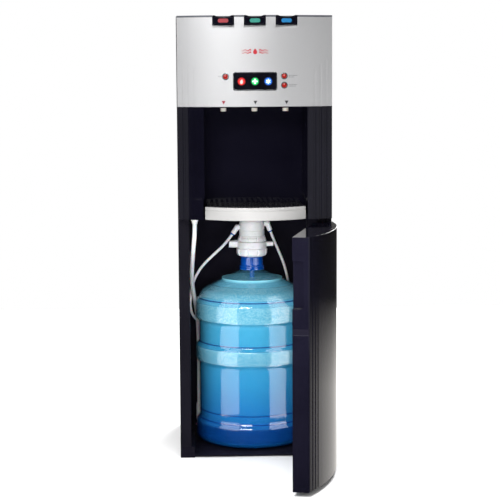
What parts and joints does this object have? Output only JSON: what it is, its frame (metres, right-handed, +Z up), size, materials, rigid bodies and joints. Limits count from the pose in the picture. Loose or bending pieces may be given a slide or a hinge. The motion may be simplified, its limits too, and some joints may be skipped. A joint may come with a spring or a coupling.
{
  "type": "bottom-loading water dispenser",
  "caption": "Floor-standing water dispenser with hot, room and cold outlets, a drip tray and a hinged door over a bottle compartment.",
  "frame": {"origin": "on the floor under the centre of the cabinet, door not counted", "axes": "+Z up, +X to the right seen from the front, the front faces -Y"},
  "size_m": [0.3487, 0.6805, 0.998],
  "materials": {
    "gloss_black": "moulded gloss black",
    "satin_black": "fine moulded texture",
    "painted_black": "satin powder coat",
    "silver_panel": "silver metallic paint, satin",
    "light_trim": "satin light grey",
    "lid_grey": "satin",
    "label_red": "gloss print",
    "label_green": "gloss print",
    "label_blue": "gloss print",
    "window_black": "polished",
    "bright_trim": "satin bright",
    "lens_red": "polished",
    "cream_plastic": "satin",
    "hose_white": "satin",
    "steel": "satin",
    "brass_parts": "satin",
    "board_green": "solder mask",
    "rubber_black": "matte",
    "bottle_blue": "clear tinted",
    "water_clear": "clear",
    "deep_blue": "gloss"
  },
  "bodies": {
    "cabinet": {"base_tray": "satin_black", "side_panel_left": "painted_black", "side_panel_right": "painted_black", "post_left": "painted_black", "post_right": "painted_black", "compartment_liner": "satin_black", "machine_deck": "satin_black", "hinge_brackets": "painted_black", "bay_surround": "gloss_black", "tray_housing": "gloss_black", "control_fascia": "silver_panel", "top_cover": "lid_grey", "display_bezel": "bright_trim", "display_window": "window_black", "lamp_bezels": "bright_trim", "lamp_lenses": "lens_red", "nozzles": "cream_plastic", "outlet_valves": "brass_parts", "switch_bar": "satin_black", "control_board": "board_green", "hot_tank": "steel", "cold_tank": "steel", "tank_shelf": "painted_black", "compressor": "painted_black", "compressor_feet": "rubber_black", "pump": "satin_black", "rear_panel": "painted_black", "rocker_frames": "satin_black", "power_inlet": "satin_black", "condenser": "painted_black", "screws": "steel", "hose_gland": "cream_plastic", "wall_fittings": "cream_plastic", "water_hose": "hose_white", "air_hose": "hose_white", "drain_hose": "hose_white"},
    "door": {"door_panel": "gloss_black", "door_liner": "satin_black", "door_catch": "steel"},
    "drip_tray": {"tray_front": "light_trim", "tray_basin": "satin_black"},
    "grille": {"drip_grille": "satin_black"},
    "key_hot": {"button_hot": "gloss_black", "label_hot": "label_red"},
    "key_room": {"button_room": "gloss_black", "label_room": "label_green"},
    "key_cold": {"button_cold": "gloss_black", "label_cold": "label_blue"},
    "bottle": {"water_bottle": "bottle_blue", "water": "water_clear", "neck_cap": "deep_blue", "dip_tube": "cream_plastic", "probe_body": "cream_plastic", "hose_fittings": "cream_plastic", "fitting_collets": "deep_blue"},
    "lock_ring": {"probe_collar": "cream_plastic"},
    "switch_hot": {"rocker_hot": "satin_black"},
    "switch_cold": {"rocker_cold": "satin_black"},
    "plug": {"drain_plug": "rubber_black"}
  },
  "joints": [
    {"name": "door_hinge", "type": "hinge", "parent": "cabinet", "child": "door", "pos_m": [0.152, -0.1835, 0.27], "axis": [0, 0, 1], "range_deg": [-77.3, 16]},
    {"name": "tray_slide", "type": "slide", "parent": "cabinet", "child": "drip_tray", "axis": [0, -1, 0], "range_m": [0, 0.13]},
    {"name": "grille_lift", "type": "slide", "parent": "drip_tray", "child": "grille", "axis": [0, 0, 1], "range_m": [0, 0.05]},
    {"name": "button_hot_press", "type": "slide", "parent": "cabinet", "child": "key_hot", "axis": [0, 0, -1], "range_m": [0, 0.004], "stiffness_N_per_m": 500, "springref_m": -0.004},
    {"name": "button_room_press", "type": "slide", "parent": "cabinet", "child": "key_room", "axis": [0, 0, -1], "range_m": [0, 0.004], "stiffness_N_per_m": 500, "springref_m": -0.004},
    {"name": "button_cold_press", "type": "slide", "parent": "cabinet", "child": "key_cold", "axis": [0, 0, -1], "range_m": [0, 0.004], "stiffness_N_per_m": 500, "springref_m": -0.004},
    {"name": "bottle_slide", "type": "slide", "parent": "cabinet", "child": "bottle", "axis": [0, -1, 0], "range_m": [0, 0.12], "deforming": ["water_hose", "air_hose"]},
    {"name": "lock_ring_turn", "type": "hinge", "parent": "bottle", "child": "lock_ring", "pos_m": [-0.0015, 0, 0.46], "axis": [0, 0, 1], "range_deg": [-60, 0]},
    {"name": "rocker_hot_tilt", "type": "hinge", "parent": "cabinet", "child": "switch_hot", "pos_m": [-0.11, 0.16, 0.945], "axis": [1, 0, 0], "range_deg": [0, 18]},
    {"name": "rocker_cold_tilt", "type": "hinge", "parent": "cabinet", "child": "switch_cold", "pos_m": [-0.078, 0.16, 0.945], "axis": [1, 0, 0], "range_deg": [0, 18]},
    {"name": "plug_pull", "type": "slide", "parent": "cabinet", "child": "plug", "axis": [0, 1, 0], "range_m": [0, 0.03]}
  ]
}
